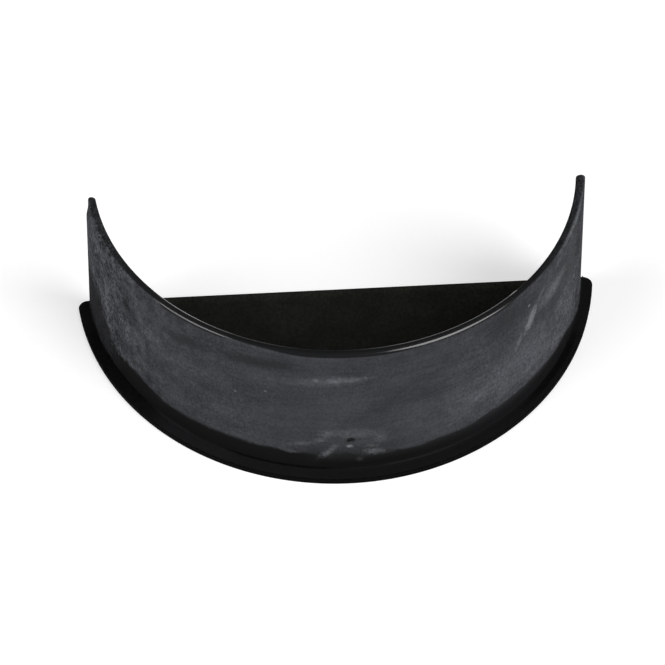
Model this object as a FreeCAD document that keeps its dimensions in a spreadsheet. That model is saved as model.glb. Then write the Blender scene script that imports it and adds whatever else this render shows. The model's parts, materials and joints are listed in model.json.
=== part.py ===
import FreeCAD, Part
import math
import os
import Sketcher

# Half-round gutter end cap, one moulded piece, lying on its outer face.
# In the body's own frame Z is the axis of the half round and -Y is the bottom of the gutter.
# The placement moves the origin to the centre of the piece's base.

doc = FreeCAD.newDocument("gutter_end_cap")

# Driving sizes in millimetres
SIZES = (
    ("plate_radius", 57.0),
    ("straight_edge_offset", 8.4),
    ("plate_thickness", 1.8),
    ("plate_corner_radius", 1.9),
    ("lip_width", 2.6),
    ("wall_height", 33.5),
    ("wall_lean", 3.4),
    ("wall_base_thickness", 2.2),
    ("wall_rim_thickness", 1.9),
    ("end_corner_radius", 0.5),
    ("outer_foot_radius", 0.3),
    ("inner_foot_radius", 0.8),
    ("rim_edge_radius", 0.9),
    ("edge_radius", 0.2),
    ("bevel_width", 3.3),
    ("bevel_drop", 0.2),
    ("gate_rise", 8.35),
    ("gate_mouth_radius", 0.8),
    ("gate_floor_radius", 0.45),
    ("gate_depth", 0.5),
)

sheet = doc.addObject("Spreadsheet::Sheet", "Sizes")
for row, (alias, value) in enumerate(SIZES, start=1):
    sheet.set(f"A{row}", alias)
    sheet.set(f"B{row}", str(value))
    sheet.setAlias(f"B{row}", alias)
doc.recompute()

ORIGIN = (-1, 1)
START = 1
END = 2
CENTRE = 3

body = doc.addObject("PartDesign::Body", "end_cap")
body.Label = "end_cap"


def size(alias):
    """Value of a driving size, in millimetres."""
    return float(sheet.get(alias))


def origin_plane(role):
    """The body's own origin plane that has this role."""
    return next(item for item in body.Origin.OriginFeatures if item.Role == role)


def add_sketch(name, role):
    """Add a sketch to the body on the origin plane that has this role."""
    sketch = body.newObject("Sketcher::SketchObject", name)
    sketch.AttachmentSupport = (origin_plane(role), [""])
    sketch.MapMode = "FlatFace"
    return sketch


def add_line(sketch, start, end):
    """Draw one straight line between two points of the sketch plane."""
    segment = Part.LineSegment(FreeCAD.Vector(*start, 0), FreeCAD.Vector(*end, 0))
    return sketch.addGeometry(segment, False)


def add_loop(sketch, points):
    """Draw a closed run of straight lines, joined end to end."""
    count = len(points)
    for index, point in enumerate(points):
        add_line(sketch, point, points[(index + 1) % count])
    for index in range(count):
        sketch.addConstraint(Sketcher.Constraint("Coincident", index, END, (index + 1) % count, START))


def square_up(sketch, level, upright):
    """Hold some lines of a sketch level and others upright."""
    for line in level:
        sketch.addConstraint(Sketcher.Constraint("Horizontal", line))
    for line in upright:
        sketch.addConstraint(Sketcher.Constraint("Vertical", line))


def bind_formula(sketch, kind, first, second, name, value, formula):
    """Add a named distance between two points of a sketch, driven by a formula."""
    index = sketch.addConstraint(Sketcher.Constraint(kind, *first, *second, value))
    sketch.renameConstraint(index, name)
    sketch.setExpression(f"Constraints.{name}", formula)


def bind(sketch, kind, first, second, alias):
    """Add a distance between two points of a sketch, driven by one size of the sheet."""
    bind_formula(sketch, kind, first, second, alias, size(alias), f"Sizes.{alias}")


def add_fillet(name, base, tests, alias):
    """Round the edges that the tests pick out, one edge for each test."""
    numbered = list(enumerate(base.Shape.Edges, start=1))
    chosen = [f"Edge{number}" for test in tests for number, edge in numbered if test(edge)]
    if len(chosen) != len(tests):
        raise RuntimeError(f"{name}: {len(chosen)} edges found, {len(tests)} wanted")
    fillet = body.newObject("PartDesign::Fillet", name)
    fillet.Base = (base, chosen)
    fillet.setExpression("Radius", f"Sizes.{alias}")
    doc.recompute()
    return fillet


def add_cut(kind, name, profile, **settings):
    """Add a cut of this kind with its settings."""
    cut = body.newObject(f"PartDesign::{kind}", name)
    cut.Profile = profile
    for setting, value in settings.items():
        setattr(cut, setting, value)
    doc.recompute()
    return cut


def arc_at(radius, height):
    """Make a test for the level arc of this radius at this height."""
    def test(edge):
        if not isinstance(edge.Curve, Part.Circle):
            return False
        box = edge.BoundBox
        level = abs(box.ZMax - height) < 0.01 and abs(box.ZMin - height) < 0.01
        return level and abs(edge.Curve.Radius - radius) < 0.01
    return test


plate_radius = size("plate_radius")
plate_thickness = size("plate_thickness")
edge_offset = size("straight_edge_offset")
base_radius = plate_radius - size("lip_width")
rim_radius = base_radius - size("wall_lean")
base_inside = base_radius - size("wall_base_thickness")
rim_inside = rim_radius - size("wall_rim_thickness")
total_height = plate_thickness + size("wall_height")

# Section of plate, lip and leaning wall, turned about the axis of the half round
section = add_sketch("section", "XZ_Plane")
add_loop(section, (
    (0, 0),
    (plate_radius, 0),
    (plate_radius, plate_thickness),
    (base_radius, plate_thickness),
    (rim_radius, total_height),
    (rim_inside, total_height),
    (base_inside, plate_thickness),
    (0, plate_thickness),
))
square_up(section, level=(0, 2, 4, 6), upright=(1, 7))
section.addConstraint(Sketcher.Constraint("Coincident", 0, START, *ORIGIN))
section.addConstraint(Sketcher.Constraint("Horizontal", 3, START, 6, START))
bind(section, "DistanceX", ORIGIN, (0, END), "plate_radius")
bind(section, "DistanceY", (1, START), (1, END), "plate_thickness")
bind(section, "DistanceX", (2, END), (2, START), "lip_width")
bind(section, "DistanceX", (3, END), (3, START), "wall_lean")
bind(section, "DistanceY", (3, START), (3, END), "wall_height")
bind(section, "DistanceX", (4, END), (4, START), "wall_rim_thickness")
bind(section, "DistanceX", (5, END), (3, START), "wall_base_thickness")
doc.recompute()

turned = body.newObject("PartDesign::Revolution", "turned_blank")
turned.Profile = section
turned.ReferenceAxis = (section, ["V_Axis"])
turned.Angle = 360.0
doc.recompute()

# Rounded feet of the wall, on the lip and inside
outer_ring = arc_at(base_radius, plate_thickness)
outer_foot = add_fillet("outer_foot", turned, (outer_ring,), "outer_foot_radius")
inner_ring = arc_at(base_inside, plate_thickness)
inner_foot = add_fillet("inner_foot", outer_foot, (inner_ring,), "inner_foot_radius")

# Nearly full round of the rim, and small rounding of the plate's outer edges
rim_rings = (arc_at(rim_radius, total_height), arc_at(rim_inside, total_height))
rim_edges = add_fillet("rim_edges", inner_foot, rim_rings, "rim_edge_radius")
plate_rings = (arc_at(plate_radius, plate_thickness), arc_at(plate_radius, 0))
plate_edges = add_fillet("plate_edges", rim_edges, plate_rings, "edge_radius")

# Straight edge: everything behind it goes, so that plate and wall end in one plane
reach = 1.2 * plate_radius
behind = add_sketch("behind_straight_edge", "XY_Plane")
add_loop(behind, ((-reach, -edge_offset), (reach, -edge_offset), (reach, reach), (-reach, reach)))
square_up(behind, level=(0, 2), upright=(1, 3))
bind(behind, "DistanceY", (0, START), ORIGIN, "straight_edge_offset")
bind_formula(behind, "DistanceY", ORIGIN, (1, END), "reach_back", reach, "1.2 * Sizes.plate_radius")
bind_formula(behind, "DistanceX", (0, START), ORIGIN, "reach_left", reach, "1.2 * Sizes.plate_radius")
bind_formula(behind, "DistanceX", ORIGIN, (0, END), "reach_right", reach, "1.2 * Sizes.plate_radius")
doc.recompute()
straight = add_cut("Pocket", "straight_edge", behind, Type="ThroughAll", Reversed=True)

# Rounded corners of the plate, in plan: an arc that touches the straight edge and the plate's own arc
corner_radius = size("plate_corner_radius")
centre_y = -edge_offset - corner_radius
centre_x = math.sqrt((plate_radius - corner_radius) ** 2 - centre_y ** 2)
touch_share = plate_radius / (plate_radius - corner_radius)
touch = (touch_share * centre_x, touch_share * centre_y)
touch_angle = math.atan2(touch[1] - centre_y, touch[0] - centre_x)
corner = add_sketch("plate_corner", "XY_Plane")
add_line(corner, (centre_x, -edge_offset), (reach, -edge_offset))
add_line(corner, (reach, -edge_offset), (reach, touch[1]))
add_line(corner, (reach, touch[1]), touch)
corner_round = Part.Circle(FreeCAD.Vector(centre_x, centre_y, 0), FreeCAD.Vector(0, 0, 1), corner_radius)
corner.addGeometry(Part.ArcOfCircle(corner_round, touch_angle, math.pi / 2), False)
spoke = add_line(corner, (0, 0), touch)
corner.setConstruction(spoke, True)
corner.addConstraint(Sketcher.Constraint("Coincident", 0, END, 1, START))
corner.addConstraint(Sketcher.Constraint("Coincident", 1, END, 2, START))
corner.addConstraint(Sketcher.Constraint("Coincident", 2, END, 3, START))
corner.addConstraint(Sketcher.Constraint("Tangent", 3, END, 0, START))
corner.addConstraint(Sketcher.Constraint("Coincident", spoke, START, *ORIGIN))
corner.addConstraint(Sketcher.Constraint("Coincident", spoke, END, 3, START))
corner.addConstraint(Sketcher.Constraint("PointOnObject", 3, CENTRE, spoke))
square_up(corner, level=(0, 2), upright=(1,))
bind(corner, "DistanceY", (0, END), ORIGIN, "straight_edge_offset")
bind(corner, "Distance", (spoke, START), (spoke, END), "plate_radius")
bind(corner, "DistanceY", (3, CENTRE), (0, START), "plate_corner_radius")
bind_formula(corner, "DistanceX", ORIGIN, (0, END), "reach_right", reach, "1.2 * Sizes.plate_radius")
doc.recompute()
right_corner = add_cut("Pocket", "right_plate_corner", corner, Type="ThroughAll", Reversed=True)
both_corners = body.newObject("PartDesign::Mirrored", "both_plate_corners")
both_corners.Originals = [right_corner]
both_corners.MirrorPlane = (origin_plane("YZ_Plane"), [""])
body.Tip = both_corners
doc.recompute()

# Rounded top corners of the wall's two ends, cut across the piece
end_radius = size("end_corner_radius")
arc_y = -edge_offset - end_radius
arc_z = total_height - end_radius
end_corner = add_sketch("end_corner", "YZ_Plane")
add_line(end_corner, (arc_y, total_height), (-edge_offset, total_height))
add_line(end_corner, (-edge_offset, total_height), (-edge_offset, arc_z))
corner_circle = Part.Circle(FreeCAD.Vector(arc_y, arc_z, 0), FreeCAD.Vector(0, 0, 1), end_radius)
end_corner.addGeometry(Part.ArcOfCircle(corner_circle, 0, math.pi / 2), False)
end_corner.addConstraint(Sketcher.Constraint("Coincident", 0, END, 1, START))
end_corner.addConstraint(Sketcher.Constraint("Tangent", 1, END, 2, START))
end_corner.addConstraint(Sketcher.Constraint("Tangent", 2, END, 0, START))
square_up(end_corner, level=(0,), upright=(1,))
bind(end_corner, "DistanceX", (0, END), ORIGIN, "straight_edge_offset")
bind_formula(end_corner, "DistanceY", ORIGIN, (0, END), "total_height", total_height,
             "Sizes.plate_thickness + Sizes.wall_height")
bind(end_corner, "DistanceX", (0, START), (0, END), "end_corner_radius")
doc.recompute()
ends = add_cut("Pocket", "wall_end_corners", end_corner, Type="ThroughAll", Midplane=True)

# Shallow bevel along the straight edge, between the feet of the wall
bevel_width = size("bevel_width")
bevel_drop = size("bevel_drop")
bevel_section = add_sketch("bevel_section", "YZ_Plane")
add_loop(bevel_section, (
    (-edge_offset - bevel_width, plate_thickness),
    (-edge_offset, plate_thickness),
    (-edge_offset, plate_thickness - bevel_drop),
))
square_up(bevel_section, level=(0,), upright=(1,))
bind(bevel_section, "DistanceX", (0, END), ORIGIN, "straight_edge_offset")
bind(bevel_section, "DistanceY", ORIGIN, (0, END), "plate_thickness")
bind(bevel_section, "DistanceX", (0, START), (0, END), "bevel_width")
bind(bevel_section, "DistanceY", (1, END), (1, START), "bevel_drop")
doc.recompute()
bevel = add_cut("Pocket", "edge_bevel", bevel_section, Type="Length", Midplane=True)
bevel.setExpression("Length", "2 * (Sizes.plate_radius - Sizes.lip_width - Sizes.wall_base_thickness"
                    " - Sizes.inner_foot_radius - Sizes.plate_thickness)")
doc.recompute()

# Gate mark: a small pit in the front of the wall, low on the centre line
gate_height = plate_thickness + size("gate_rise")
gate_depth = size("gate_depth")
mouth_radius = size("gate_mouth_radius")
floor_radius = size("gate_floor_radius")
wall_y = -base_radius + size("wall_lean") * size("gate_rise") / size("wall_height")
gate_section = add_sketch("gate_section", "YZ_Plane")
add_loop(gate_section, (
    (wall_y - mouth_radius, gate_height),
    (wall_y + gate_depth, gate_height),
    (wall_y + gate_depth, gate_height + floor_radius),
    (wall_y, gate_height + mouth_radius),
    (wall_y - mouth_radius, gate_height + mouth_radius),
))
square_up(gate_section, level=(0, 3), upright=(1, 4))
bind_formula(gate_section, "DistanceX", (2, END), ORIGIN, "wall_place", -wall_y,
             "Sizes.plate_radius - Sizes.lip_width - Sizes.wall_lean * Sizes.gate_rise / Sizes.wall_height")
bind_formula(gate_section, "DistanceY", ORIGIN, (0, START), "gate_height", gate_height,
             "Sizes.plate_thickness + Sizes.gate_rise")
bind(gate_section, "DistanceX", (2, END), (1, START), "gate_depth")
bind(gate_section, "DistanceY", (1, START), (1, END), "gate_floor_radius")
bind(gate_section, "DistanceY", (0, START), (4, START), "gate_mouth_radius")
bind_formula(gate_section, "DistanceX", (3, END), (3, START), "clear_way", mouth_radius,
             "Sizes.gate_mouth_radius")
doc.recompute()
gate = add_cut("Groove", "gate_mark", gate_section, ReferenceAxis=(gate_section, ["Edge1"]), Angle=360.0)

body.Tip = gate
body.setExpression("Placement.Base.y", "(Sizes.plate_radius + Sizes.straight_edge_offset) / 2")
doc.recompute()

# From the feet on every step has to take material away, and nothing may be invalid
steps = (inner_foot, rim_edges, plate_edges, straight, right_corner, both_corners, ends, bevel, gate)
for item in doc.Objects:
    if "Invalid" in item.State or "Error" in item.State:
        raise RuntimeError(f"{item.Name} is in state {item.State}")
for before, after in zip(steps, steps[1:]):
    if after.Shape.Volume >= before.Shape.Volume:
        raise RuntimeError(f"{after.Name} removes nothing")
if body.Shape.isNull() or not body.Shape.isValid() or len(body.Shape.Solids) != 1:
    raise RuntimeError("the end cap is not one valid solid")

os.makedirs("parts", exist_ok=True)
body.Shape.exportStep(f"parts/{body.Label}.step")
box = body.Shape.optimalBoundingBox()
print("volume in mm3:", round(body.Shape.Volume, 1))
print("low corner:", round(box.XMin, 3), round(box.YMin, 3), round(box.ZMin, 3))
print("high corner:", round(box.XMax, 3), round(box.YMax, 3), round(box.ZMax, 3))
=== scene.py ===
import json
import math
from typing import NamedTuple

import bmesh
import bpy
from bpy.props import FloatProperty, FloatVectorProperty, PointerProperty
from mathutils import Euler, Matrix, Vector


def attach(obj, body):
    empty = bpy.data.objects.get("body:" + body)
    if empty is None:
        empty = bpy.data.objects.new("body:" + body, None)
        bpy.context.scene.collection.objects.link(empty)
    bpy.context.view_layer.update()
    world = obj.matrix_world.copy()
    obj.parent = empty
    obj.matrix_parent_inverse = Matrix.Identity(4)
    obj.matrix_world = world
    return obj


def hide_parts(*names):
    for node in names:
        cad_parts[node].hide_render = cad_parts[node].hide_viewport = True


bl_info = {
    "name": "Gutter End Cap",
    "version": (1, 0, 0),
    "blender": (4, 5, 0),
    "location": "3D View > Sidebar > End Cap",
    "description": "Builds a moulded half-round gutter end cap, its black plastic and a plain studio",
    "category": "Add Mesh",
}

# Millimetres in a metre
MM = 1000

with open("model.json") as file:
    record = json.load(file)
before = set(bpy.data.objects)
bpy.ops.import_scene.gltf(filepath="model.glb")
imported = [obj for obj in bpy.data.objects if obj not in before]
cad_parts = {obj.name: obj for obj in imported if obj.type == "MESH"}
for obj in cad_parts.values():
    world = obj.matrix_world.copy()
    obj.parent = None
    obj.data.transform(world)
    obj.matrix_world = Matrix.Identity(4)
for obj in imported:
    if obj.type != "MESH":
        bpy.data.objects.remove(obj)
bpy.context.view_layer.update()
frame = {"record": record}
MOUNTS = {mount["name"]: mount for mount in frame["record"]["mounts"]}
PLATE_TOP = MOUNTS["lip_face"]["pos_m"][2]
WALL_FOOT_RADIUS = MOUNTS["push_in_wall"]["dims"]["r_mm"] / MM
WALL_HEIGHT = MOUNTS["push_in_wall"]["dims"]["length_mm"] / MM

PIECE_NAME = "end_cap_moulding"

# How finely the skin of the moulding is divided
END_GAPS = (0.0, 0.006, 0.02, 0.04, 0.07, 0.105, 0.15, 0.2, 0.3, 0.45, 0.6, 0.8,
            1.1, 1.5, 1.9, 2.3, 2.8, 3.3, 3.9)
END_ZONE = 4.5
PLATE_GAPS = (0.0, 0.006, 0.02, 0.04, 0.07, 0.105, 0.15, 0.2, 0.5, 1.0, 1.7, 2.5, 3.1, 3.3, 3.5, 4.5)
PLATE_SHARES = (0.1, 0.25, 0.45, 0.7, 1.0)
ROUND_STEPS = 7
FOOT_STEPS = 7
LIP_STEPS = 4
RIM_ROUND_STEPS = 10
RIM_STEPS = 3
COLUMN_PITCH = 0.75
ROW_PITCH = 0.8
GATE_PITCH = 0.12
GATE_REACH = 1.4
INSIDE_ROW_SHARE = 0.04
BEVEL_END_SOFTNESS = 0.0002
WELD_DISTANCE = 4e-7
SLIVER_LENGTH = 2e-7

# Marks reach through the whole thickness of the wall
MARK_MIDDLE_OUT = 54.0
MARK_REACH_OUT = 1000.0

# How the camera is turned about X, Y and Z
CAMERA_TURN_DEGREES = (36.7952, -0.0481, -3.5684)

# How far the floor glows by itself where it is seen directly
FLOOR_GLOW = 0.53


class Mark(NamedTuple):
    """An oval mark on the outside of the wall: place and half sizes in millimetres, and how strong it is."""

    along: float
    up: float
    half_length: float
    half_height: float
    lean: float
    softness: float
    ragged: float
    gain: float


# Handling marks that thicken or thin the film; the thinning low on the left end is painted shade
FILM_MARKS = (
    Mark(-7.0, 27.9, 13.0, 2.0, 4.0, 0.9, 0.9, 0.6),
    Mark(-0.5, 28.4, 6.5, 1.2, 0.0, 0.9, 1.0, 0.45),
    Mark(-19.0, 31.2, 13.0, 2.4, 4.0, 0.9, 0.7, -0.6),
    Mark(-35.0, 29.6, 9.0, 2.6, 10.0, 0.9, 0.8, -0.6),
    Mark(-60.5, 31.0, 3.6, 1.1, -41.0, 0.9, 0.8, -0.6),
    Mark(-67.0, 27.4, 3.6, 1.2, 40.0, 0.9, 0.8, -0.5),
    Mark(-52.0, 26.4, 6.0, 2.8, -40.0, 0.9, 0.8, -0.6),
    # Painted shade: thins the film low on the left end for the dark reflection of the shaded floor beside it
    Mark(-56.0, 11.5, 8.0, 4.5, 20.0, 1.0, 0.8, -0.4),
    Mark(-61.6, 22.0, 7.0, 0.9, 92.0, 0.9, 1.0, 0.5),
    Mark(-64.5, 31.5, 4.0, 1.0, -60.0, 0.9, 1.0, 0.6),
    Mark(-45.0, 24.0, 7.0, 3.6, -35.0, 0.9, 0.8, 0.35),
    Mark(-2.0, 7.3, 15.0, 2.4, 0.0, 0.9, 0.8, -0.5),
    Mark(-1.4, 5.5, 3.8, 1.7, 0.0, 0.6, 0.8, -0.85),
    Mark(-57.0, 21.0, 5.0, 4.0, 60.0, 0.9, 0.8, -0.3),
    Mark(20.0, 15.0, 16.0, 9.0, 0.0, 1.0, 0.4, 0.22),
    Mark(42.0, 14.0, 28.0, 11.0, 0.0, 1.0, 0.4, 0.8),
    Mark(37.0, 31.5, 13.0, 4.5, 0.0, 1.0, 0.5, -0.42),
    Mark(59.0, 30.0, 10.0, 7.0, 0.0, 1.0, 0.5, -0.3),
    Mark(21.0, 13.0, 3.0, 1.0, -55.0, 0.9, 0.9, 0.35),
    Mark(52.0, 23.0, 7.0, 3.0, 40.0, 1.0, 0.6, -0.25),
    Mark(63.0, 26.0, 7.5, 6.5, 0.0, 0.8, 0.4, -0.22),
)

# Pale marks: the flow bloom round the gate mark, the scuffs, the white specks and the smear, with two
# painted highlights, on the gate mark's lower side and along the rim's outer edge at the right end
PALE_MARKS = (
    Mark(0.4, 10.4, 7.4, 4.0, 0.0, 0.4, 1.0, 0.03),
    Mark(0.6, 12.6, 7.4, 2.0, -4.0, 0.7, 1.4, 0.17),
    Mark(-4.7, 12.6, 2.6, 1.7, 0.0, 1.0, 1.6, 0.32),
    Mark(5.6, 11.0, 2.4, 2.6, 0.0, 1.0, 1.6, 0.2),
    Mark(-6.4, 10.7, 2.2, 1.3, 10.0, 1.0, 1.6, 0.28),
    Mark(-4.7, 7.0, 3.2, 1.1, 45.0, 1.0, 1.6, 0.42),
    Mark(-3.5, 8.9, 1.7, 1.0, 30.0, 1.0, 1.6, 0.28),
    Mark(3.9, 8.5, 2.4, 1.2, -10.0, 1.0, 1.6, 0.2),
    Mark(4.6, 6.7, 3.2, 1.4, -10.0, 1.0, 1.6, 0.42),
    Mark(1.7, 4.6, 1.2, 0.9, -40.0, 1.0, 1.4, 0.12),
    Mark(-9.6, 9.4, 4.2, 0.9, 14.0, 1.0, 1.6, 0.24),
    Mark(-12.4, 6.4, 2.2, 0.8, 0.0, 1.0, 1.6, 0.2),
    # Partly painted highlight on the lower side of the gate mark, partly stress whitening of the plastic
    Mark(-0.35, 8.85, 0.85, 0.55, -5.0, 0.5, 0.6, 0.7),
    Mark(42.0, 26.0, 4.8, 1.8, 62.0, 0.8, 1.2, 0.8),
    Mark(41.3, 24.6, 2.2, 1.9, 60.0, 0.9, 1.2, 0.75),
    Mark(45.0, 30.0, 4.0, 1.0, 42.0, 0.9, 1.0, 0.25),
    Mark(50.0, 27.6, 8.0, 3.0, 6.0, 1.0, 1.2, 0.46),
    Mark(38.0, 21.6, 3.2, 1.3, 60.0, 1.0, 1.4, 0.34),
    Mark(41.1, 30.3, 0.5, 0.45, 0.0, 0.6, 0.4, 0.8),
    Mark(-23.7, 21.0, 0.5, 0.36, 0.0, 0.8, 0.3, 0.5),
    Mark(-17.3, 23.4, 0.45, 0.4, 0.0, 0.8, 0.3, 0.5),
    Mark(-7.1, 28.5, 0.9, 0.9, 0.0, 1.0, 0.6, 0.45),
    Mark(-1.0, 28.7, 6.0, 1.5, 0.0, 1.0, 1.8, 0.12),
    Mark(-4.7, 28.7, 0.6, 0.5, 0.0, 1.0, 0.8, 0.3),
    Mark(-3.3, 28.2, 0.8, 0.6, 0.0, 1.0, 0.8, 0.36),
    Mark(-2.3, 29.0, 0.8, 0.6, 20.0, 1.0, 0.8, 0.32),
    Mark(-1.1, 28.4, 0.7, 0.6, 0.0, 1.0, 0.8, 0.36),
    Mark(0.0, 29.2, 0.6, 0.5, 0.0, 1.0, 0.8, 0.3),
    Mark(1.2, 28.7, 0.9, 0.6, 10.0, 1.0, 0.8, 0.34),
    Mark(2.7, 29.0, 0.6, 0.5, 0.0, 1.0, 0.8, 0.3),
    Mark(52.5, 33.2, 3.0, 1.2, 25.0, 0.9, 0.8, 0.12),
    # Painted highlight along the rim's outer edge at the right end
    Mark(62.0, 34.95, 12.0, 0.45, 0.0, 0.8, 0.2, 0.45),
)

# Painted shade in the upper half of the gate mark's pit
GATE_SHADE = (Mark(-0.1, 10.6, 1.05, 1.0, 12.0, 0.35, 0.2, -1.0),)


def length(name, description, default):
    """A size in metres that a user may change."""
    return FloatProperty(name=name, description=description, default=default, min=0.0, precision=5,
                         subtype="DISTANCE", unit="LENGTH")


def share(name, description, default):
    """A share between nothing and one that a user may change."""
    return FloatProperty(name=name, description=description, default=default, min=0.0, max=1.0,
                         subtype="FACTOR")


def colour(name, description, default):
    """A colour that a user may change."""
    return FloatVectorProperty(name=name, description=description, default=default, min=0.0, max=1.0, size=3,
                               subtype="COLOR")


class EndCapSizes(bpy.types.PropertyGroup):
    """Sizes of the moulded end cap."""

    plate_radius: length("Plate radius", "Radius of the plate's arc", 0.057)
    straight_edge_offset: length("Straight edge offset", "From the arc's centre to the straight edge",
                                 0.0084)
    plate_thickness: length("Plate thickness", "Thickness of the closing plate", PLATE_TOP)
    plate_corner_radius: length("Plate corners", "Radius of the plate's two corners in plan", 0.0019)
    wall_foot_radius: length("Wall foot radius", "Radius of the wall's outside at the lip", WALL_FOOT_RADIUS)
    wall_height: length("Wall height", "Height of the wall over the plate", WALL_HEIGHT)
    wall_lean: length("Wall lean", "How far the wall leans in from foot to rim", 0.0034)
    wall_base_thickness: length("Wall at the foot", "Thickness of the wall at the plate", 0.0022)
    wall_rim_thickness: length("Wall at the rim", "Thickness of the wall at its rim", 0.0019)
    end_corner_radius: length("End corners", "Radius of the top corners at the wall's ends", 0.0005)
    outer_foot_radius: length("Outer foot", "Rounding between lip and wall", 0.0003)
    inner_foot_radius: length("Inner foot", "Rounding between plate and wall on the inside", 0.0008)
    rim_edge_radius: length("Rim rounding", "Nearly full round of the rim", 0.0009)
    edge_radius: length("Edge rounding", "Small rounding of the other outer edges", 0.0002)
    bevel_width: length("Bevel width", "Width of the shallow bevel along the straight edge", 0.0033)
    bevel_drop: length("Bevel drop", "Drop of the bevel at the straight edge", 0.0002)
    bevel_half_length: length("Bevel half length", "From the middle to either end of the bevel", 0.0496)
    gate_rise: length("Gate mark height", "Height of the gate mark over the plate", 0.00835)
    gate_radius: length("Gate mark radius", "Radius of the gate mark's mouth", 0.0008)
    gate_depth: length("Gate mark depth", "Depth of the gate mark", 0.0005)
    tip_wear_depth: length("Worn tip depth", "How far the left end's outer top corner is worn in", 0.0004)
    tip_wear_height: length("Worn tip height", "How far down from the rim the left end is worn", 0.0056)
    flash_height: length("Flash height", "Height of the bit of flash on the lip at the right end", 0.0005)


class EndCapFinish(bpy.types.PropertyGroup):
    """Look of the black plastic."""

    plastic: colour("Plastic", "Colour of the clean plastic", (0.007, 0.0072, 0.0073))
    film: colour("Film", "Colour of the dust and handling film on the wall", (0.122, 0.128, 0.143))
    bloom: colour("Bloom", "Colour of the pale flow bloom and the scuffs", (0.2, 0.206, 0.22))
    dust: colour("Dust", "Colour of the dust on the plate", (0.138, 0.136, 0.108))
    gloss_roughness: share("Clean roughness", "Roughness of the clean plastic", 0.3)
    film_roughness: share("Film roughness", "Roughness where the film covers the plastic", 0.75)
    shine: share("Shine", "Strength of the reflections", 0.04)
    rim_roughness: share("Rim roughness", "Roughness of the rubbed, shiny stretches of the rim", 0.14)


class EndCapStage(bpy.types.PropertyGroup):
    """Studio round the end cap."""

    floor: colour("Floor", "Colour of the floor", (0.68, 0.68, 0.68))
    key_light: FloatProperty(name="Right light", default=1.9, min=0.0,
                             description="Strength of the soft light from the front right")
    side_light: FloatProperty(name="Left light", description="Strength of the soft light high on the left",
                              default=0.8, min=0.0)
    fill_light: FloatProperty(name="Fill light", description="Strength of the soft light low on the left",
                              default=1.4, min=0.0)
    low_light: FloatProperty(name="Low light", description="Strength of the soft light low on the right",
                             default=0.64, min=0.0)
    room: share("Room", "Brightness of the dark room over the studio", 0.06)
    camera_place: FloatVectorProperty(name="Camera place", description="Where the camera stands",
                                      default=(-0.01405, -0.18332, 0.26396),
                                      subtype="TRANSLATION", unit="LENGTH")
    camera_turn: FloatVectorProperty(name="Camera turn", description="How the camera is turned",
                                     default=[math.radians(turn) for turn in CAMERA_TURN_DEGREES],
                                     subtype="EULER", unit="ROTATION")
    camera_lens: FloatProperty(name="Lens", description="Focal length in millimetres on a 36 mm sensor",
                               default=82.92, min=1.0)


# Form of the moulding

def edge_fall(gap, radius):
    """How far a rounded edge falls away at this distance from the edge."""
    if gap >= radius:
        return 0.0
    return radius - math.sqrt(radius ** 2 - (radius - gap) ** 2)


def round_steps(radius, count):
    """Distance from the edge and fall of the surface, stepped over a quarter round up to the flat."""
    turns = [0.5 * math.pi * step / count for step in range(count + 1)]
    return [(radius * (1 - math.cos(turn)), radius * (1 - math.sin(turn))) for turn in turns]


def smooth_step(low, high, value):
    """Rise smoothly from nothing at low to one at high."""
    part = min(max((value - low) / (high - low), 0.0), 1.0)
    return part * part * (3 - 2 * part)


def even_steps(low, high, pitch):
    """Evenly spaced values from low to high, about a pitch apart."""
    count = max(1, round((high - low) / pitch))
    return [low + (high - low) * step / count for step in range(count + 1)]


class Column:
    """A line across the skin: at one distance from the straight edge, or at a share of the arc."""

    def __init__(self, side=0, gap=None, part=0.0):
        self.side = side
        self.gap = gap
        self.part = part

    @property
    def at_end(self):
        """True near an end of the arc."""
        return self.gap is not None


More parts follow.
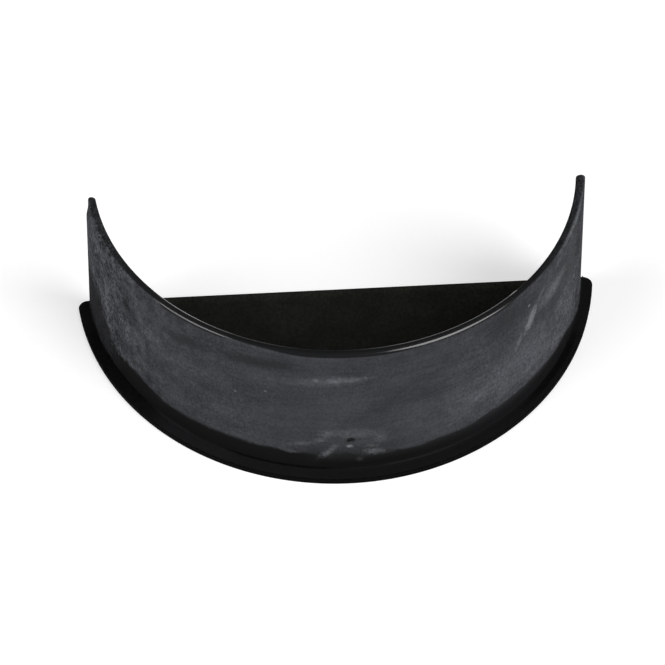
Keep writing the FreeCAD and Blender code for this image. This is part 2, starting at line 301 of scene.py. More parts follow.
class CapForm:
    """Points on the skin of the end cap, worked out from its sizes, in metres."""

    def __init__(self, sizes):
        self.sizes = sizes
        self.rounding = sizes.edge_radius
        self.offset = sizes.straight_edge_offset
        self.centre_y = (sizes.plate_radius + self.offset) / 2
        self.chord_y = self.centre_y - self.offset
        self.plate_top = sizes.plate_thickness
        self.height = sizes.plate_thickness + sizes.wall_height
        corner = sizes.plate_corner_radius
        self.corner_x = math.sqrt((sizes.plate_radius - corner) ** 2 - (self.offset + corner) ** 2)
        self.outer_slope = sizes.wall_lean / sizes.wall_height
        thinner = sizes.wall_base_thickness - sizes.wall_rim_thickness
        self.inner_slope = (sizes.wall_lean - thinner) / sizes.wall_height
        self.outer_foot = self.foot_arc(sizes.outer_foot_radius, outside=True)
        self.inner_foot = self.foot_arc(sizes.inner_foot_radius, outside=False)

    def fall(self, column):
        """How far the skin falls in at this column, near the straight edge."""
        return edge_fall(column.gap, self.rounding) if column.at_end else 0.0

    def on_arc(self, column, radius):
        """Plan place of a column on the arc of this radius."""
        if column.at_end:
            ahead = self.offset + column.gap
            return column.side * math.sqrt(max(radius ** 2 - ahead ** 2, 0.0)), self.centre_y - ahead
        angle = column.part * math.acos((self.offset + END_ZONE / MM) / radius)
        return radius * math.sin(angle), self.centre_y - radius * math.cos(angle)

    def wall_radius(self, level, outside):
        """Radius of the wall's outer or inner side at this level."""
        rise = level - self.plate_top
        if outside:
            return self.sizes.wall_foot_radius - self.outer_slope * rise
        return self.sizes.wall_foot_radius - self.sizes.wall_base_thickness - self.inner_slope * rise

    def foot_arc(self, radius, outside):
        """Radius, level and outward direction along a rounded foot, from the plate up to the wall."""
        slope = self.outer_slope if outside else self.inner_slope
        sign = 1 if outside else -1
        lean = math.atan(slope)
        middle_level = self.plate_top + radius
        middle_radius = self.wall_radius(middle_level, outside) + sign * radius / math.cos(lean)
        last = math.pi + lean if outside else math.pi - lean
        points = []
        for step in range(FOOT_STEPS + 1):
            turn = 1.5 * math.pi + (last - 1.5 * math.pi) * step / FOOT_STEPS
            across, up = math.cos(turn), math.sin(turn)
            points.append((middle_radius + sign * radius * across, middle_level + radius * up,
                           -sign * across, -up))
        return points

    def skin_point(self, column, radius, level, across, up):
        """A point of the turned section, drawn in where the column nears the straight edge."""
        fall = self.fall(column)
        x, y = self.on_arc(column, radius - fall * across)
        return Vector((x, y, level - fall * up))

    def plate_edge(self, column, gap, fall, top):
        """A point on the rounded edge of the plate, this far in from the plate's outline."""
        radius = self.sizes.plate_radius - gap
        if column.at_end:
            corner = self.sizes.plate_corner_radius
            touch = radius * (self.offset + corner) / (self.sizes.plate_radius - corner) - self.offset
            y = self.chord_y - column.gap
            if column.gap < gap:
                x = self.corner_x
                fall = self.fall(column)
            elif column.gap < touch:
                x = self.corner_x + math.sqrt(max((corner - gap) ** 2 - (corner - column.gap) ** 2, 0.0))
            else:
                x = math.sqrt(radius ** 2 - (self.offset + column.gap) ** 2)
            x *= column.side
        else:
            x, y = self.on_arc(column, radius)
        return Vector((x, y, self.plate_top - fall if top else fall))

    def rim_level(self, column, gap):
        """Level of the line this far below the rim, which drops at the end corners."""
        drop = edge_fall(column.gap, self.sizes.end_corner_radius) if column.at_end else 0.0
        return self.height - drop - gap

    def rim_edge(self, column, gap, fall, outside):
        """A point on the rounded edge of the rim."""
        level = self.rim_level(column, gap)
        sideways = 1 - fall / self.sizes.rim_edge_radius
        radius = self.wall_radius(level, outside)
        if outside:
            radius -= fall + sideways * (self.fall(column) + self.tip_wear(column, level))
        else:
            radius += fall + sideways * self.fall(column)
        x, y = self.on_arc(column, radius)
        return Vector((x, y, level))

    def tip_wear(self, column, level):
        """How far the worn outer corner at the left end of the rim falls in."""
        if not column.at_end or column.side > 0:
            return 0.0
        reach = 1 - smooth_step(0.2, 1.0, MM * column.gap / END_ZONE)
        below = (self.height - level) / self.sizes.tip_wear_height
        return self.sizes.tip_wear_depth * reach * (1 - smooth_step(0.4, 1.0, below))

    def corner_flash(self, column):
        """Height of the bit of flash on the lip at the right end."""
        if not column.at_end or column.side < 0:
            return 0.0
        return self.sizes.flash_height * (1 - smooth_step(0.25, 0.7, MM * column.gap))

    def wall_point(self, column, rise, outside):
        """A point on the wall at this share of the way from its foot to its rounded rim."""
        foot = self.outer_foot[-1] if outside else self.inner_foot[-1]
        top = self.rim_level(column, self.sizes.rim_edge_radius)
        level = foot[1] + rise * (top - foot[1])
        radius = self.wall_radius(level, outside)
        if outside:
            radius -= self.tip_wear(column, level)
        point = self.skin_point(column, radius, level, foot[2], foot[3])
        if outside:
            point.y += self.gate_pit(point)
        return point

    def gate_pit(self, point):
        """Depth of the gate mark at a point of the wall's front."""
        middle = self.plate_top + self.sizes.gate_rise
        distance = math.hypot(point.x, point.z - middle)
        if point.y > self.centre_y - self.sizes.plate_radius / 2 or distance > self.sizes.gate_radius:
            return 0.0
        return self.sizes.gate_depth * (1 - smooth_step(0.45, 1.0, distance / self.sizes.gate_radius))

    def plate_level(self, x, gap):
        """Level of the plate's inside at this distance in front of the straight edge."""
        half = self.sizes.bevel_half_length
        reach = 1 - smooth_step(half - BEVEL_END_SOFTNESS, half + BEVEL_END_SOFTNESS, abs(x))
        bevel = self.sizes.bevel_drop * max(0.0, 1 - gap / self.sizes.bevel_width)
        return self.plate_top - reach * bevel - edge_fall(gap, self.rounding)

    def columns(self):
        """All columns from the left end to the right end."""
        gaps = [gap / MM for gap in END_GAPS]
        left = [Column(side=-1, gap=gap) for gap in gaps]
        right = [Column(side=1, gap=gap) for gap in reversed(gaps)]
        half = MM * self.sizes.wall_foot_radius * math.acos(
            (self.offset + END_ZONE / MM) / self.sizes.wall_foot_radius)
        places = even_steps(-half, -GATE_REACH, COLUMN_PITCH)[:-1]
        places += even_steps(-GATE_REACH, GATE_REACH, GATE_PITCH)
        places += even_steps(GATE_REACH, half, COLUMN_PITCH)[1:]
        return left + [Column(part=place / half) for place in places] + right

    def rises(self):
        """Shares of the wall's height for the rows of its outside, closer together at the gate mark."""
        low = MM * self.outer_foot[-1][1]
        high = MM * (self.height - self.sizes.rim_edge_radius)
        gate = MM * (self.plate_top + self.sizes.gate_rise)
        levels = even_steps(low, gate - GATE_REACH, ROW_PITCH)[:-1]
        levels += even_steps(gate - GATE_REACH, gate + GATE_REACH, GATE_PITCH)
        levels += even_steps(gate + GATE_REACH, high, ROW_PITCH)[1:]
        return [(level - low) / (high - low) for level in levels]

    def turned_line(self, column):
        """Points of one column, from the underside round lip, wall and rim to the plate's inside."""
        steps = round_steps(self.rounding, ROUND_STEPS)
        line = [self.plate_edge(column, gap, fall, top=False) for gap, fall in reversed(steps)]
        line += [self.plate_edge(column, gap, fall, top=True) for gap, fall in steps]
        lip_start = line[-1]
        lip_end = self.skin_point(column, *self.outer_foot[0])
        line += [lip_start.lerp(lip_end, step / LIP_STEPS) for step in range(1, LIP_STEPS)]
        line[-1].z += self.corner_flash(column)
        line += [self.skin_point(column, *point) for point in self.outer_foot]
        line += [self.wall_point(column, rise, outside=True) for rise in self.rises()[1:-1]]
        rim_steps = round_steps(self.sizes.rim_edge_radius, RIM_ROUND_STEPS)
        line += [self.rim_edge(column, gap, fall, outside=True) for gap, fall in reversed(rim_steps)]
        rim_start = line[-1]
        rim_end = self.rim_edge(column, *rim_steps[0], outside=False)
        line += [rim_start.lerp(rim_end, step / RIM_STEPS) for step in range(1, RIM_STEPS)]
        line += [self.rim_edge(column, gap, fall, outside=False) for gap, fall in rim_steps]
        inside_rows = even_steps(0.0, 1.0, INSIDE_ROW_SHARE)
        line += [self.wall_point(column, rise, outside=False) for rise in reversed(inside_rows[1:-1])]
        line += [self.skin_point(column, *point) for point in reversed(self.inner_foot)]
        return line

    def plate_line(self, start, top):
        """Points from the turned part straight back to the straight edge, over or under the plate."""
        depth = self.chord_y - start.y
        zone = PLATE_GAPS[-1] / MM
        gaps = [min(gap / MM, depth) for gap in PLATE_GAPS]
        gaps += [zone + (depth - zone) * part if depth > zone else depth for part in PLATE_SHARES]
        line = []
        for gap in gaps:
            level = self.plate_level(start.x, gap) if top else edge_fall(gap, self.rounding)
            line.append(Vector((start.x, self.chord_y - gap, level)))
        return line


def add_patch(mesh, lines):
    """Add a patch of four-sided faces between lines of equally many points."""
    rows = [[mesh.verts.new(point) for point in line] for line in lines]
    for low, high in zip(rows, rows[1:]):
        for index in range(len(low) - 1):
            mesh.faces.new((low[index], low[index + 1], high[index + 1], high[index]))


def moulding_mesh(sizes):
    """The whole skin of the end cap as one closed mesh."""
    form = CapForm(sizes)
    turned = [form.turned_line(column) for column in form.columns()]
    skin = bmesh.new()
    add_patch(skin, turned)
    add_patch(skin, [form.plate_line(line[-1], top=True) for line in turned])
    add_patch(skin, [form.plate_line(line[0], top=False) for line in turned])
    bmesh.ops.remove_doubles(skin, verts=skin.verts, dist=WELD_DISTANCE)
    bmesh.ops.dissolve_degenerate(skin, edges=skin.edges, dist=SLIVER_LENGTH)
    rest = [edge for edge in skin.edges if edge.is_boundary]
    closing = bmesh.ops.contextual_create(skin, geom=rest)["faces"]
    if not closing:
        raise RuntimeError("the straight edge's flat end is not closed")
    bmesh.ops.triangulate(skin, faces=closing)
    bmesh.ops.recalc_face_normals(skin, faces=skin.faces)
    open_edges = [edge for edge in skin.edges if not edge.is_manifold]
    if open_edges:
        raise RuntimeError(f"the moulding's skin has {len(open_edges)} open edges")
    for face in skin.faces:
        face.smooth = True
    mesh = bpy.data.meshes.new(PIECE_NAME)
    skin.to_mesh(mesh)
    skin.free()
    return mesh


# Black plastic

def add_node(tree, kind, inputs=None, **settings):
    """Add a node with its settings, and set or link its inputs."""
    node = tree.nodes.new(kind)
    for name, value in settings.items():
        setattr(node, name, value)
    for name, value in (inputs or {}).items():
        if isinstance(value, bpy.types.NodeSocket):
            tree.links.new(value, node.inputs[name])
        else:
            node.inputs[name].default_value = value
    return node


def calculate(tree, operation, *values):
    """Result of one sum on values or sockets."""
    return add_node(tree, "ShaderNodeMath", dict(enumerate(values)), operation=operation).outputs[0]


def wall_place(tree, form):
    """Place on the wall in millimetres: along it from the front's middle, up from the floor, and out."""
    place = add_node(tree, "ShaderNodeTexCoord").outputs["Object"]
    parts = add_node(tree, "ShaderNodeSeparateXYZ", {0: place}).outputs
    ahead = calculate(tree, "SUBTRACT", form.centre_y, parts["Y"])
    angle = calculate(tree, "ARCTAN2", parts["X"], ahead)
    along = calculate(tree, "MULTIPLY", angle, MM * form.sizes.wall_foot_radius)
    up = calculate(tree, "MULTIPLY", parts["Z"], MM)
    squares = calculate(tree, "ADD", calculate(tree, "POWER", parts["X"], 2),
                        calculate(tree, "POWER", ahead, 2))
    out = calculate(tree, "MULTIPLY", calculate(tree, "SQRT", squares), MM)
    return add_node(tree, "ShaderNodeCombineXYZ", {"X": along, "Y": up, "Z": out}).outputs[0]


def flat_place(tree):
    """Place on the piece in millimetres, along its straight axes."""
    place = add_node(tree, "ShaderNodeTexCoord").outputs["Object"]
    return add_node(tree, "ShaderNodeVectorMath", {0: place, "Scale": MM}, operation="SCALE").outputs[0]


def grain(tree, place, stretch, detail, roughness):
    """Noise at its own size along, up and out of the wall, in millimetres."""
    scaled = add_node(tree, "ShaderNodeVectorMath", {0: place, 1: [1 / size for size in stretch]},
                      operation="MULTIPLY").outputs[0]
    noise = add_node(tree, "ShaderNodeTexNoise", {"Vector": scaled, "Scale": 1.0, "Detail": detail,
                                                  "Roughness": roughness})
    return noise.outputs["Fac"]


def ramp(tree, value, low, high, start=0.0, end=1.0):
    """Run smoothly from start to end while a value runs from low to high."""
    inputs = {"Value": value, "From Min": low, "From Max": high, "To Min": start, "To Max": end}
    return add_node(tree, "ShaderNodeMapRange", inputs, interpolation_type="SMOOTHSTEP").outputs[0]


def mix_colours(tree, factor, first, second):
    """Blend two colours."""
    node = add_node(tree, "ShaderNodeMix", data_type="RGBA")
    sockets = {"Factor_Float": factor, "A_Color": first, "B_Color": second}
    for socket in node.inputs:
        value = sockets.get(socket.identifier)
        if isinstance(value, bpy.types.NodeSocket):
            tree.links.new(value, socket)
        elif value is not None:
            socket.default_value = value
    return next(socket for socket in node.outputs if socket.identifier == "Result_Color")


def soft_spot(tree, place, mark, rough_edge):
    """One inside a soft oval mark on the wall and nothing outside it."""
    inside = add_node(tree, "ShaderNodeMapping", {
        "Vector": place, "Location": (mark.along, mark.up, MARK_MIDDLE_OUT),
        "Rotation": (0.0, 0.0, math.radians(mark.lean)),
        "Scale": (mark.half_length, mark.half_height, MARK_REACH_OUT)}, vector_type="TEXTURE").outputs[0]
    distance = add_node(tree, "ShaderNodeVectorMath", {0: inside}, operation="LENGTH").outputs["Value"]
    ragged = calculate(tree, "MULTIPLY_ADD", rough_edge, mark.ragged, distance)
    return ramp(tree, ragged, 1.0 - mark.softness, 1.0, 1.0, 0.0)


def with_marks(tree, place, level, marks, rough_edge):
    """A level, raised or lowered by each mark in turn."""
    for mark in marks:
        spot = soft_spot(tree, place, mark, rough_edge)
        level = calculate(tree, "MULTIPLY", level, calculate(tree, "MULTIPLY_ADD", spot, mark.gain, 1.0))
    return level


def between(tree, value, start, full, still_full, stop):
    """Rise from nothing to one, stay there, and fall back to nothing."""
    return calculate(tree, "MULTIPLY", ramp(tree, value, start, full),
                     ramp(tree, value, still_full, stop, 1.0, 0.0))


def brightest(tree, masks):
    """The strongest of several masks."""
    strongest = masks[0]
    for mask in masks[1:]:
        strongest = calculate(tree, "MAXIMUM", strongest, mask)
    return strongest


def film_with_painted_foot_shade(tree, along, up, wander):
    """How far the film covers the wall: none in the band at the foot, all of it above. The bare band paints
    shade, the dark reflection of the lip, and it rises at the left end for the dark reflection of the shaded
    floor there.
    """
    left_rise = calculate(tree, "ADD", ramp(tree, along, -40.0, -52.0, 0.0, 1.5),
                          ramp(tree, along, -57.0, -67.0, 0.0, 7.7))
    right_fall = ramp(tree, along, 55.0, 70.0, 0.0, -4.6)
    front_sway = calculate(tree, "ADD", ramp(tree, along, -5.0, -16.0, 0.0, 0.4),
                           calculate(tree, "MULTIPLY", between(tree, along, 5.0, 10.0, 24.0, 32.0), -0.4))
    middle = calculate(tree, "MULTIPLY_ADD", wander, 1.6, 6.3)
    for change in (left_rise, right_fall, front_sway):
        middle = calculate(tree, "ADD", middle, change)
    half = calculate(tree, "ADD", ramp(tree, along, -50.0, -67.0, 0.55, 3.4),
                     calculate(tree, "MULTIPLY", between(tree, along, -9.0, -4.0, 5.0, 10.0), 1.3))
    low = calculate(tree, "SUBTRACT", middle, half)
    high = calculate(tree, "ADD", middle, half)
    return ramp(tree, up, low, high)


def black_plastic(finish, form):
    """Semi-matte moulded black plastic with a grey film of handling on the outside of the wall, and painted
    shade and highlights in places.
    """
    material = bpy.data.materials.new("black_plastic_moulded")
    material.use_nodes = True
    tree = material.node_tree
    tree.nodes.clear()
    place = wall_place(tree, form)
    along, up, out = add_node(tree, "ShaderNodeSeparateXYZ", {0: place}).outputs
    foot = MM * form.plate_top
    high = MM * form.height
    foot_out = MM * form.sizes.wall_foot_radius

    # Stretches of the rim that are rubbed to a shine
    side = calculate(tree, "ABSOLUTE", along)
    faint_stretch = between(tree, along, -30.0, -24.0, -18.0, -9.0)
    outer_edge = brightest(tree, (between(tree, along, -44.0, -41.0, -28.0, -21.0),
                                  calculate(tree, "MULTIPLY", faint_stretch, 0.35),
                                  between(tree, along, -3.0, 14.0, 34.0, 41.0)))
    inner_edge = brightest(tree, (between(tree, along, -46.0, -42.0, -36.0, -25.0),
                                  between(tree, along, 36.4, 37.4, 38.4, 39.4),
                                  calculate(tree, "MULTIPLY", outer_edge, 0.4)))

    # Where the outside of the wall, its rim, its foot, the lip and the plate's inside and side are
    face = calculate(tree, "MULTIPLY_ADD", up, -form.outer_slope, foot_out + form.outer_slope * foot)
    depth = calculate(tree, "SUBTRACT", face, out)
    film_end = calculate(tree, "MULTIPLY_ADD", outer_edge, -0.45, 0.7)
    outside = ramp(tree, depth, calculate(tree, "SUBTRACT", film_end, 0.25), film_end, 1.0, 0.0)
    reach = ramp(tree, side, 8.0, 20.0, high - 0.42, high)
    below_rim = ramp(tree, up, calculate(tree, "SUBTRACT", reach, 0.25), reach, 1.0, 0.0)
    on_rim = ramp(tree, up, high - 1.0, high - 0.6)
    angle = calculate(tree, "DIVIDE", along, foot_out)
    in_plan = calculate(tree, "MULTIPLY", out, calculate(tree, "COSINE", angle))
    from_edge = calculate(tree, "SUBTRACT", in_plan, MM * form.offset)
    inside = ramp(tree, depth, 1.0, 1.6)
    on_plate = calculate(tree, "MULTIPLY", ramp(tree, up, foot + 0.2, foot + 1.0, 1.0, 0.0), inside)
    inner_wall = calculate(tree, "MULTIPLY", inside,
                           between(tree, up, foot + 0.2, foot + 1.0, high - 1.6, high - 0.9))
    on_lip = calculate(tree, "MULTIPLY", ramp(tree, up, foot + 0.1, foot + 0.5, 1.0, 0.0),
                       ramp(tree, depth, -0.3, 0.0, 1.0, 0.0))
    near_foot = calculate(tree, "MULTIPLY", ramp(tree, up, foot + 0.5, foot + 1.2, 1.0, 0.0),
                          ramp(tree, calculate(tree, "ABSOLUTE", depth), 0.4, 1.0, 1.0, 0.0))
    crease = calculate(tree, "MULTIPLY", ramp(tree, up, foot + 0.25, foot + 0.5, 1.0, 0.0),
                       ramp(tree, calculate(tree, "ABSOLUTE", depth), 0.15, 0.35, 1.0, 0.0))
    plate_side = calculate(tree, "MULTIPLY", ramp(tree, out, MM * form.sizes.plate_radius - 0.3,
                                                  MM * form.sizes.plate_radius - 0.1),
                           ramp(tree, up, foot - 0.02, foot, 1.0, 0.0))

    # Grain of the film
    coarse = grain(tree, place, (9.0, 6.0, 9.0), 4.0, 0.55)
    clouds = calculate(tree, "MULTIPLY_ADD", calculate(tree, "SUBTRACT", coarse, 0.5),
                       ramp(tree, side, 12.0, 40.0, 0.65, 1.1), 0.5)
    patches = grain(tree, place, (1.8, 3.0, 1.8), 3.0, 0.6)
    fine = grain(tree, place, (0.5, 0.7, 0.5), 3.0, 0.65)
    strokes = grain(tree, place, (7.0, 0.7, 7.0), 3.0, 0.55)
    rough_edge = calculate(tree, "SUBTRACT", grain(tree, place, (1.6, 1.3, 1.6), 3.0, 0.6), 0.5)
    wander = calculate(tree, "SUBTRACT", grain(tree, place, (9.0, 40.0, 40.0), 2.0, 0.5), 0.5)
    speckle = calculate(tree, "ADD", ramp(tree, side, 10.0, 32.0, 1.15, 2.2),
                        ramp(tree, side, 46.0, 62.0, 0.0, 3.4))
    speckle = calculate(tree, "MULTIPLY_ADD", calculate(tree, "SUBTRACT", fine, 0.5), speckle, 1.0)
    unevenness = calculate(tree, "ADD", ramp(tree, side, 36.0, 60.0, 0.3, 2.1),
                           ramp(tree, along, -24.0, -48.0, 0.0, 0.8))
    mottle = calculate(tree, "MULTIPLY_ADD", calculate(tree, "SUBTRACT", patches, 0.5), unevenness, 1.0)

    # Film on the outside of the wall, with a thin rest of it on the lip, the band at the foot and the rim.
    # The nearly bare band at the foot is painted shade, the dark reflection of the lip.
    ragged_up = calculate(tree, "MULTIPLY_ADD", rough_edge, ramp(tree, along, -46.0, -60.0, 1.2, 8.0), up)
    film = film_with_painted_foot_shade(tree, along, ragged_up, wander)
    film = calculate(tree, "MULTIPLY", film, ramp(tree, clouds, 0.25, 0.75, 0.27, 0.47))
    film = calculate(tree, "MULTIPLY", film, ramp(tree, strokes, 0.25, 0.75, 0.9, 1.1))
    # Painted light: the film grows lighter towards the left end, to make up for the dimmer light falling
    # there
    film_gain_with_painted_light = calculate(tree, "MULTIPLY", ramp(tree, side, 6.0, 28.0, 0.91, 1.02),
                        ramp(tree, along, -36.0, -62.0, 1.0, 1.3))
    film = calculate(tree, "MULTIPLY", film, film_gain_with_painted_light)
    film = with_marks(tree, place, film, FILM_MARKS + GATE_SHADE, rough_edge)
    rest = calculate(tree, "ADD", ramp(tree, along, 5.0, 30.0, 0.004, 0.028),
                     ramp(tree, along, -54.0, -63.0, 0.0, 0.09))
    film = calculate(tree, "MAXIMUM", film, rest)
    film = calculate(tree, "MULTIPLY", film, calculate(tree, "MULTIPLY", outside, below_rim))
    film = calculate(tree, "MULTIPLY", film, calculate(tree, "SUBTRACT", 1.0, on_lip))
    tips = calculate(tree, "ADD", ramp(tree, along, -54.0, -62.0), ramp(tree, along, 64.0, 67.0))
    rim_film = calculate(tree, "MULTIPLY_ADD", tips, 0.075, ramp(tree, side, 40.0, 58.0, 0.034, 0.085))
    rim_film = calculate(tree, "MULTIPLY", rim_film, on_rim)
    dusty_lip = between(tree, along, -44.0, -40.0, -26.0, -20.0)
    lip_film = calculate(tree, "MULTIPLY_ADD", dusty_lip, 0.015, 0.013)
    film = brightest(tree, (film, rim_film, calculate(tree, "MULTIPLY", on_lip, lip_film)))
    film = calculate(tree, "MULTIPLY", film, calculate(tree, "MULTIPLY", speckle, mottle))

    # Faint dust on the plate and inside the wall, thicker along the straight edge. The plate is also lighter
    # at the right: painted light that lifts the shade of the right wall.
    flat = flat_place(tree)
    across = add_node(tree, "ShaderNodeSeparateXYZ", {0: flat}).outputs["X"]
    dusty = calculate(tree, "MULTIPLY_ADD", inner_wall, 0.7, on_plate)
    dust = calculate(tree, "MULTIPLY", ramp(tree, from_edge, 0.2, 3.4, 0.1, 0.056), dusty)
    # The last factor paints light on the plate's right, over the shade of the right wall
    for change in (ramp(tree, grain(tree, flat, (9.0, 6.0, 9.0), 4.0, 0.55), 0.25, 0.75, 0.65, 1.35),
                   ramp(tree, grain(tree, flat, (0.5, 0.7, 0.5), 3.0, 0.65), 0.25, 0.75, 0.5, 1.5),
                   ramp(tree, across, 8.0, 42.0, 1.0, 2.1)):
        dust = calculate(tree, "MULTIPLY", dust, change)
    tint = mix_colours(tree, dust, (*finish.plastic, 1.0), (*finish.dust, 1.0))
    tint = mix_colours(tree, film, tint, (*finish.film, 1.0))

    # Pale flow bloom round the gate, pale scuffs, a pale line along parts of the crease, and painted
    # highlights on the gate mark's lower side and along the rim's outer edge at the right end
    torn_edge = calculate(tree, "SUBTRACT", grain(tree, place, (0.7, 0.6, 0.7), 4.0, 0.65), 0.5)
    spots = [calculate(tree, "MULTIPLY", soft_spot(tree, place, mark, torn_edge), mark.gain)
             for mark in PALE_MARKS]
    bloom = calculate(tree, "MULTIPLY", brightest(tree, spots), outside)
    bloom = calculate(tree, "MULTIPLY", bloom, ramp(tree, fine, 0.25, 0.75, 0.6, 1.4))
    bloom = with_marks(tree, place, bloom, GATE_SHADE, rough_edge)
    pale_stretches = calculate(tree, "MAXIMUM", between(tree, along, 5.0, 9.0, 16.0, 30.0),
                               between(tree, along, -44.0, -42.0, -36.0, -32.0))
    pale_line = calculate(tree, "MULTIPLY", crease, pale_stretches)
    bloom = calculate(tree, "MAXIMUM", bloom, calculate(tree, "MULTIPLY", pale_line, 0.022))
    tint = mix_colours(tree, bloom, tint, (*finish.bloom, 1.0))

    # Painted shade as darker plastic: on the left of the lip, shaded by the wall, in stretches of the
    # crease, and on the plate's side for the dark reflection of the floor's contact shadow; also a darker
    # core on the right of the lip
    left_lip = calculate(tree, "MULTIPLY", on_lip, between(tree, along, -72.0, -66.0, -48.0, -38.0))
    right_lip = calculate(tree, "MULTIPLY", between(tree, depth, -1.9, -1.3, -0.4, 0.0),
                          between(tree, along, 36.0, 46.0, 58.0, 64.0))
    right_lip = calculate(tree, "MULTIPLY", right_lip, on_lip)
    dark_stretches = calculate(tree, "MAXIMUM", between(tree, along, -28.0, -22.0, -8.0, 2.0),
                               between(tree, along, -66.0, -60.0, -48.0, -43.0))
    # This painted shade is mixed in as a much darker plastic
    clean = brightest(tree, (calculate(tree, "MULTIPLY", left_lip, 0.72),
                             calculate(tree, "MULTIPLY", right_lip, 0.7),
                             calculate(tree, "MULTIPLY", crease, dark_stretches), plate_side))
    clean = calculate(tree, "MULTIPLY", clean, ramp(tree, fine, 0.3, 0.7, 1.0, 0.6))
    tint = mix_colours(tree, clean, tint, tuple(0.15 * value for value in finish.plastic) + (1.0,))

    # The rubbed rim shines in a thin line on either edge; its rest, the foot and the far ends are dull
    shine_start = ramp(tree, side, 14.0, 30.0, 0.15, 0.26)
    on_line = ramp(tree, depth, shine_start, calculate(tree, "ADD", shine_start, 0.1))
    towards_inside = ramp(tree, depth, 0.8, 1.1)
    edges = {"Factor": towards_inside, "A": outer_edge, "B": inner_edge}
    rubbed = add_node(tree, "ShaderNodeMix", edges).outputs[0]
    coat = calculate(tree, "MULTIPLY", calculate(tree, "MULTIPLY", rubbed, on_line), on_rim)
    worn_dull = calculate(tree, "MULTIPLY", on_rim, calculate(tree, "SUBTRACT", 0.7, rubbed))
    far_ends = calculate(tree, "MAXIMUM", ramp(tree, side, 55.0, 66.0), ramp(tree, along, -34.0, -46.0))
    left_band = calculate(tree, "MULTIPLY", ramp(tree, up, foot + 3.7, foot + 5.7, 1.0, 0.0),
                          ramp(tree, along, -2.0, -12.0))
    dull = brightest(tree, (near_foot, plate_side, far_ends, left_band, worn_dull))
    rough = ramp(tree, film, 0.0, 0.3, finish.gloss_roughness, finish.film_roughness)
    rough = calculate(tree, "MAXIMUM", rough, calculate(tree, "MULTIPLY", dull, 0.95))
    bump = add_node(tree, "ShaderNodeBump", {"Height": fine, "Strength": 0.12, "Distance": 0.0001})
    shader = add_node(tree, "ShaderNodeBsdfPrincipled", {
        "Base Color": tint, "Roughness": rough, "IOR": 1.5, "Specular IOR Level": finish.shine,
        "Coat Weight": coat, "Coat Roughness": finish.rim_roughness, "Normal": bump.outputs["Normal"]})
    add_node(tree, "ShaderNodeOutputMaterial", {"Surface": shader.outputs[0]})
    return material


class END_CAP_OT_build_moulding(bpy.types.Operator):
    """Build the moulded end cap and give it its black plastic."""

    bl_idname = "end_cap.build_moulding"
    bl_label = "Build moulding"
    bl_options = {"REGISTER", "UNDO"}

    def execute(self, context):
        sizes = context.scene.end_cap_sizes
        mesh = moulding_mesh(sizes)
        moulding = bpy.data.objects.new(PIECE_NAME, mesh)
        context.scene.collection.objects.link(moulding)
        even = moulding.modifiers.new("even_shading", "WEIGHTED_NORMAL")
        even.mode = "FACE_AREA"
        mesh.materials.append(black_plastic(context.scene.end_cap_finish, CapForm(sizes)))
        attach(moulding, "root")
        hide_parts("end_cap")
        return {"FINISHED"}


# Studio

def seen_directly(tree):
    """One for rays from the camera, a gloss or a clear body, and nothing for the rest."""
    rays = add_node(tree, "ShaderNodeLightPath").outputs
    gloss = calculate(tree, "MAXIMUM", rays["Is Camera Ray"], rays["Is Glossy Ray"])
    return calculate(tree, "MAXIMUM", gloss, rays["Is Transmission Ray"])


def floor_material(stage):
    """Pale matt floor that reads as white where nothing shades it."""
    material = bpy.data.materials.new("studio_floor_white")
    material.use_nodes = True
    tree = material.node_tree
    tree.nodes.clear()
    matt = add_node(tree, "ShaderNodeBsdfDiffuse", {"Color": (*stage.floor, 1.0)})
    lift = calculate(tree, "MULTIPLY", seen_directly(tree), FLOOR_GLOW)
    glow = add_node(tree, "ShaderNodeEmission", {"Color": (1.0, 1.0, 1.0, 1.0), "Strength": lift})
    both = add_node(tree, "ShaderNodeAddShader", {0: matt.outputs[0], 1: glow.outputs[0]})
    add_node(tree, "ShaderNodeOutputMaterial", {"Surface": both.outputs[0]})
    return material


def add_floor(scene, stage):
    """Lay the floor under the end cap."""
    reach = 20.0
    level = -0.00001
    corners = [(x * reach, y * reach, level) for x, y in ((-1, -1), (1, -1), (1, 1), (-1, 1))]
    mesh = bpy.data.meshes.new("studio_floor")
    mesh.from_pydata(corners, [], [(0, 1, 2, 3)])
    mesh.materials.append(floor_material(stage))
    floor = bpy.data.objects.new("studio_floor", mesh)
    scene.collection.objects.link(floor)


def add_soft_light(scene, name, bearing, elevation, spread, strength):
    """Hang a wide soft light at a bearing from the front, positive to the right, all in degrees."""
    lamp = bpy.data.lights.new(name, "SUN")
    lamp.energy = strength
    lamp.angle = math.radians(spread)
    light = bpy.data.objects.new(name, lamp)
    light.rotation_euler = Euler((math.radians(90 - elevation), 0.0, math.radians(bearing)))
    scene.collection.objects.link(light)


def add_room(scene, stage):
    """White surroundings for the camera, and a dark room overhead for everything else."""
    world = bpy.data.worlds.new("studio_room")
    scene.world = world
    world.use_nodes = True
    tree = world.node_tree
    tree.nodes.clear()
    direction = add_node(tree, "ShaderNodeTexCoord").outputs["Generated"]
    height = add_node(tree, "ShaderNodeSeparateXYZ", {0: direction}).outputs["Z"]
    brightness = ramp(tree, height, 0.0, 0.3, 0.5 * stage.room, stage.room)
    camera_ray = add_node(tree, "ShaderNodeLightPath").outputs["Is Camera Ray"]
    strength = calculate(tree, "MAXIMUM", camera_ray, brightness)
    background = add_node(tree, "ShaderNodeBackground", {"Color": (1.0, 1.0, 1.0, 1.0),
                                                         "Strength": strength})
    add_node(tree, "ShaderNodeOutputWorld", {"Surface": background.outputs[0]})


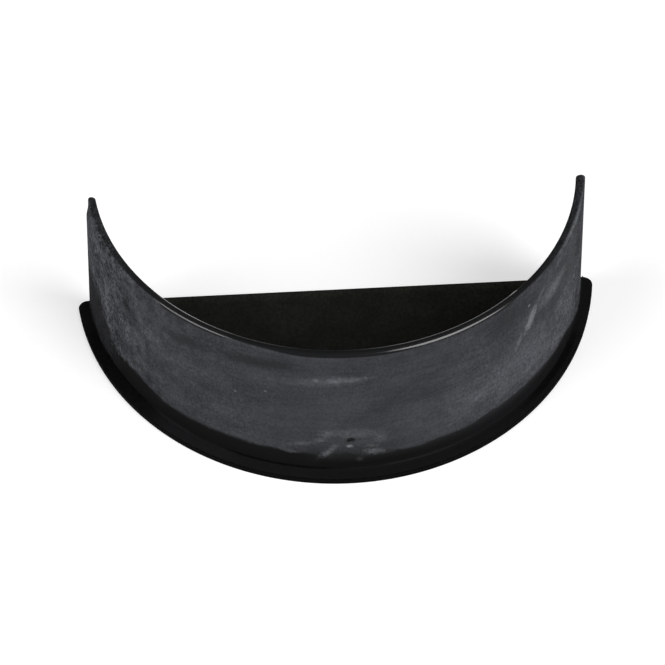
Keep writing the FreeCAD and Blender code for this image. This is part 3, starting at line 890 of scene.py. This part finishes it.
def add_camera(scene, stage):
    """Stand the camera where the picture was taken from."""
    camera = bpy.data.cameras.new("studio_camera")
    camera.sensor_width = 36.0
    camera.lens = stage.camera_lens
    camera.clip_start = 0.01
    stand = bpy.data.objects.new("studio_camera", camera)
    turn = Euler(stage.camera_turn).to_matrix().to_4x4()
    stand.matrix_world = Matrix.Translation(stage.camera_place) @ turn
    scene.collection.objects.link(stand)
    scene.camera = stand


class END_CAP_OT_set_up_stage(bpy.types.Operator):
    """Set up the floor, the lights, the room and the camera."""

    bl_idname = "end_cap.set_up_stage"
    bl_label = "Set up stage"
    bl_options = {"REGISTER", "UNDO"}

    def execute(self, context):
        scene = context.scene
        stage = scene.end_cap_stage
        scene.view_settings.view_transform = "Standard"
        add_floor(scene, stage)
        add_soft_light(scene, "soft_light_right", 50.0, 48.0, 36.0, stage.key_light)
        add_soft_light(scene, "soft_light_left", -72.0, 48.0, 28.0, stage.side_light)
        add_soft_light(scene, "soft_light_fill", -60.0, 7.0, 40.0, stage.fill_light)
        add_soft_light(scene, "soft_light_low", 55.0, 18.0, 40.0, stage.low_light)
        add_room(scene, stage)
        add_camera(scene, stage)
        return {"FINISHED"}


class END_CAP_PT_sidebar(bpy.types.Panel):
    """Sizes, finish and stage of the end cap."""

    bl_label = "End Cap"
    bl_idname = "END_CAP_PT_sidebar"
    bl_space_type = "VIEW_3D"
    bl_region_type = "UI"
    bl_category = "End Cap"

    def draw(self, context):
        scene = context.scene
        layout = self.layout
        layout.use_property_split = True
        for group in (scene.end_cap_sizes, scene.end_cap_finish, scene.end_cap_stage):
            column = layout.box().column()
            for name in group.__annotations__:
                column.prop(group, name)
        layout.operator(END_CAP_OT_build_moulding.bl_idname)
        layout.operator(END_CAP_OT_set_up_stage.bl_idname)


CLASSES = (
    EndCapSizes,
    EndCapFinish,
    EndCapStage,
    END_CAP_OT_build_moulding,
    END_CAP_OT_set_up_stage,
    END_CAP_PT_sidebar,
)


def register():
    """Make the settings, operators and panel known."""
    for item in CLASSES:
        bpy.utils.register_class(item)
    bpy.types.Scene.end_cap_sizes = PointerProperty(type=EndCapSizes)
    bpy.types.Scene.end_cap_finish = PointerProperty(type=EndCapFinish)
    bpy.types.Scene.end_cap_stage = PointerProperty(type=EndCapStage)


def unregister():
    """Take the settings, operators and panel away again."""
    del bpy.types.Scene.end_cap_stage
    del bpy.types.Scene.end_cap_finish
    del bpy.types.Scene.end_cap_sizes
    for item in reversed(CLASSES):
        bpy.utils.unregister_class(item)


def main():
    """Build the end cap and its stage."""
    register()
    bpy.ops.end_cap.build_moulding()
    bpy.ops.end_cap.set_up_stage()
    bpy.context.view_layer.update()


if __name__ == "__main__":
    main()
